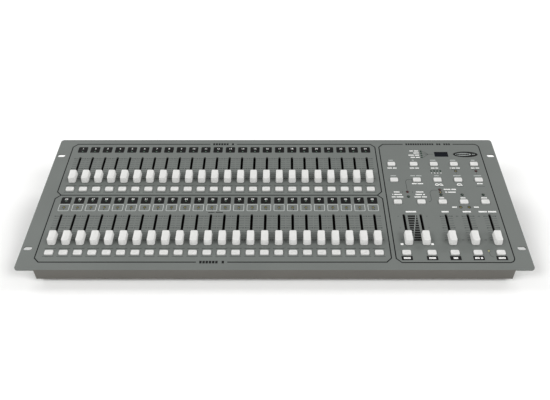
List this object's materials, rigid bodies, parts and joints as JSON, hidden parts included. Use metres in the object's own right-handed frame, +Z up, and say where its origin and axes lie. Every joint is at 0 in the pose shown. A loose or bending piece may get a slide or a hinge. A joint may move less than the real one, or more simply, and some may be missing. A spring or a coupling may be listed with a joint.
{
  "type": "lighting control desk",
  "caption": "Sloping steel lighting desk: two fader banks with flash buttons, a control section with crossfaders and display, rack ears and rear sockets.",
  "frame": {"origin": "centre of the footprint, on the surface that the rubber feet stand on", "axes": "+X to the operator's right along the panel's width, +Y away from the operator, +Z up"},
  "size_m": [0.71, 0.2596, 0.0853],
  "materials": {
    "panel_paint": "fine textured powder coat",
    "zinc_steel": "zinc plated",
    "black_screw": "black oxide",
    "foot_rubber": "matt",
    "circuit_board": "solder mask",
    "track_laminate": "phenolic laminate",
    "black_plastic": "moulded",
    "green_led": "clear tinted",
    "yellow_led": "clear tinted",
    "red_led": "clear tinted",
    "smoked_window": "polished",
    "grey_ribbon": "flat cable",
    "black_socket": "black chromate",
    "socket_metal": "nickel plated",
    "heat_sink_metal": "extruded",
    "white_cap": "moulded, satin",
    "white_button": "moulded, satin"
  },
  "bodies": {
    "root": {"top_panel": "panel_paint", "base_tray": "panel_paint", "mounting_tabs": "zinc_steel", "case_screws": "black_screw", "rubber_feet": "foot_rubber", "foot_screws": "zinc_steel", "preset_a_board": "circuit_board", "preset_b_board": "circuit_board", "control_board": "circuit_board", "main_board": "circuit_board", "board_standoffs": "zinc_steel", "board_screws": "zinc_steel", "fader_cases": "zinc_steel", "fader_tracks": "track_laminate", "switch_housings": "black_plastic", "green_leds": "green_led", "yellow_leds": "yellow_led", "red_leds": "red_led", "led_spacers": "black_plastic", "display_module": "black_plastic", "display_window": "smoked_window", "ribbon_cables": "grey_ribbon", "dmx_outputs": "black_socket", "midi_sockets": "black_plastic", "audio_inputs": "socket_metal", "remote_jack": "black_plastic", "power_inlet": "black_plastic", "power_switch_frame": "black_plastic", "polarity_switch_frame": "black_plastic", "controller_chips": "black_plastic", "power_supply_parts": "heat_sink_metal"},
    "faders_a1": {"faders_a1": "white_cap"},
    "faders_a2": {"faders_a2": "white_cap"},
    "faders_a3": {"faders_a3": "white_cap"},
    "faders_a4": {"faders_a4": "white_cap"},
    "faders_a5": {"faders_a5": "white_cap"},
    "faders_a6": {"faders_a6": "white_cap"},
    "faders_b1": {"faders_b1": "white_cap"},
    "faders_b2": {"faders_b2": "white_cap"},
    "faders_b3": {"faders_b3": "white_cap"},
    "faders_b4": {"faders_b4": "white_cap"},
    "faders_b5": {"faders_b5": "white_cap"},
    "faders_b6": {"faders_b6": "white_cap"},
    "crossfader_a": {"crossfader_a": "white_cap"},
    "crossfader_b": {"crossfader_b": "white_cap"},
    "speed_fader": {"speed_fader": "white_cap"},
    "fade_fader": {"fade_fader": "white_cap"},
    "master_fader": {"master_fader": "white_cap"},
    "bump_buttons_a1": {"bump_buttons_a1": "white_button"},
    "bump_buttons_a2": {"bump_buttons_a2": "white_button"},
    "bump_buttons_a3": {"bump_buttons_a3": "white_button"},
    "bump_buttons_b1": {"bump_buttons_b1": "white_button"},
    "bump_buttons_b2": {"bump_buttons_b2": "white_button"},
    "bump_buttons_b3": {"bump_buttons_b3": "white_button"},
    "mode_buttons": {"mode_buttons": "white_button"},
    "select_buttons": {"select_buttons": "white_button"},
    "step_buttons": {"step_buttons": "white_button"},
    "flash_buttons": {"flash_buttons": "white_button"},
    "power_rocker": {"power_rocker": "black_plastic"},
    "polarity_slider": {"polarity_slider": "white_button"}
  },
  "joints": [
    {"name": "faders_a1_travel", "type": "slide", "parent": "root", "child": "faders_a1", "axis": [0, 0.9744, 0.225], "range_m": [0, 0.045]},
    {"name": "faders_a2_travel", "type": "slide", "parent": "root", "child": "faders_a2", "axis": [0, 0.9744, 0.225], "range_m": [0, 0.045]},
    {"name": "faders_a3_travel", "type": "slide", "parent": "root", "child": "faders_a3", "axis": [0, 0.9744, 0.225], "range_m": [0, 0.045]},
    {"name": "faders_a4_travel", "type": "slide", "parent": "root", "child": "faders_a4", "axis": [0, 0.9744, 0.225], "range_m": [0, 0.045]},
    {"name": "faders_a5_travel", "type": "slide", "parent": "root", "child": "faders_a5", "axis": [0, 0.9744, 0.225], "range_m": [0, 0.045]},
    {"name": "faders_a6_travel", "type": "slide", "parent": "root", "child": "faders_a6", "axis": [0, 0.9744, 0.225], "range_m": [0, 0.045]},
    {"name": "faders_b1_travel", "type": "slide", "parent": "root", "child": "faders_b1", "axis": [0, 0.9744, 0.225], "range_m": [0, 0.045]},
    {"name": "faders_b2_travel", "type": "slide", "parent": "root", "child": "faders_b2", "axis": [0, 0.9744, 0.225], "range_m": [0, 0.045]},
    {"name": "faders_b3_travel", "type": "slide", "parent": "root", "child": "faders_b3", "axis": [0, 0.9744, 0.225], "range_m": [0, 0.045]},
    {"name": "faders_b4_travel", "type": "slide", "parent": "root", "child": "faders_b4", "axis": [0, 0.9744, 0.225], "range_m": [0, 0.045]},
    {"name": "faders_b5_travel", "type": "slide", "parent": "root", "child": "faders_b5", "axis": [0, 0.9744, 0.225], "range_m": [0, 0.045]},
    {"name": "faders_b6_travel", "type": "slide", "parent": "root", "child": "faders_b6", "axis": [0, 0.9744, 0.225], "range_m": [0, 0.045]},
    {"name": "crossfader_a_travel", "type": "slide", "parent": "root", "child": "crossfader_a", "axis": [0, 0.9744, 0.225], "range_m": [0, 0.045]},
    {"name": "crossfader_b_travel", "type": "slide", "parent": "root", "child": "crossfader_b", "axis": [0, 0.9744, 0.225], "range_m": [0, 0.045]},
    {"name": "speed_fader_travel", "type": "slide", "parent": "root", "child": "speed_fader", "axis": [0, 0.9744, 0.225], "range_m": [0, 0.045]},
    {"name": "fade_fader_travel", "type": "slide", "parent": "root", "child": "fade_fader", "axis": [0, 0.9744, 0.225], "range_m": [0, 0.045]},
    {"name": "master_fader_travel", "type": "slide", "parent": "root", "child": "master_fader", "axis": [0, 0.9744, 0.225], "range_m": [0, 0.045]},
    {"name": "bump_buttons_a1_press", "type": "slide", "parent": "root", "child": "bump_buttons_a1", "axis": [0, 0.225, -0.9744], "range_m": [0, 0.001], "stiffness_N_per_m": 400, "springref_m": -0.001},
    {"name": "bump_buttons_a2_press", "type": "slide", "parent": "root", "child": "bump_buttons_a2", "axis": [0, 0.225, -0.9744], "range_m": [0, 0.001], "stiffness_N_per_m": 400, "springref_m": -0.001},
    {"name": "bump_buttons_a3_press", "type": "slide", "parent": "root", "child": "bump_buttons_a3", "axis": [0, 0.225, -0.9744], "range_m": [0, 0.001], "stiffness_N_per_m": 400, "springref_m": -0.001},
    {"name": "bump_buttons_b1_press", "type": "slide", "parent": "root", "child": "bump_buttons_b1", "axis": [0, 0.225, -0.9744], "range_m": [0, 0.001], "stiffness_N_per_m": 400, "springref_m": -0.001},
    {"name": "bump_buttons_b2_press", "type": "slide", "parent": "root", "child": "bump_buttons_b2", "axis": [0, 0.225, -0.9744], "range_m": [0, 0.001], "stiffness_N_per_m": 400, "springref_m": -0.001},
    {"name": "bump_buttons_b3_press", "type": "slide", "parent": "root", "child": "bump_buttons_b3", "axis": [0, 0.225, -0.9744], "range_m": [0, 0.001], "stiffness_N_per_m": 400, "springref_m": -0.001},
    {"name": "mode_buttons_press", "type": "slide", "parent": "root", "child": "mode_buttons", "axis": [0, 0.225, -0.9744], "range_m": [0, 0.001], "stiffness_N_per_m": 400, "springref_m": -0.001},
    {"name": "select_buttons_press", "type": "slide", "parent": "root", "child": "select_buttons", "axis": [0, 0.225, -0.9744], "range_m": [0, 0.001], "stiffness_N_per_m": 400, "springref_m": -0.001},
    {"name": "step_buttons_press", "type": "slide", "parent": "root", "child": "step_buttons", "axis": [0, 0.225, -0.9744], "range_m": [0, 0.001], "stiffness_N_per_m": 400, "springref_m": -0.001},
    {"name": "flash_buttons_press", "type": "slide", "parent": "root", "child": "flash_buttons", "axis": [0, 0.225, -0.9744], "range_m": [0, 0.001], "stiffness_N_per_m": 400, "springref_m": -0.001},
    {"name": "power_rocker_tilt", "type": "hinge", "parent": "root", "child": "power_rocker", "pos_m": [0.296, 0.11737, 0.04], "axis": [0, 0, 1], "range_deg": [0, 24]},
    {"name": "polarity_slider_travel", "type": "slide", "parent": "root", "child": "polarity_slider", "axis": [1, 0, 0], "range_m": [0, 0.004]}
  ]
}
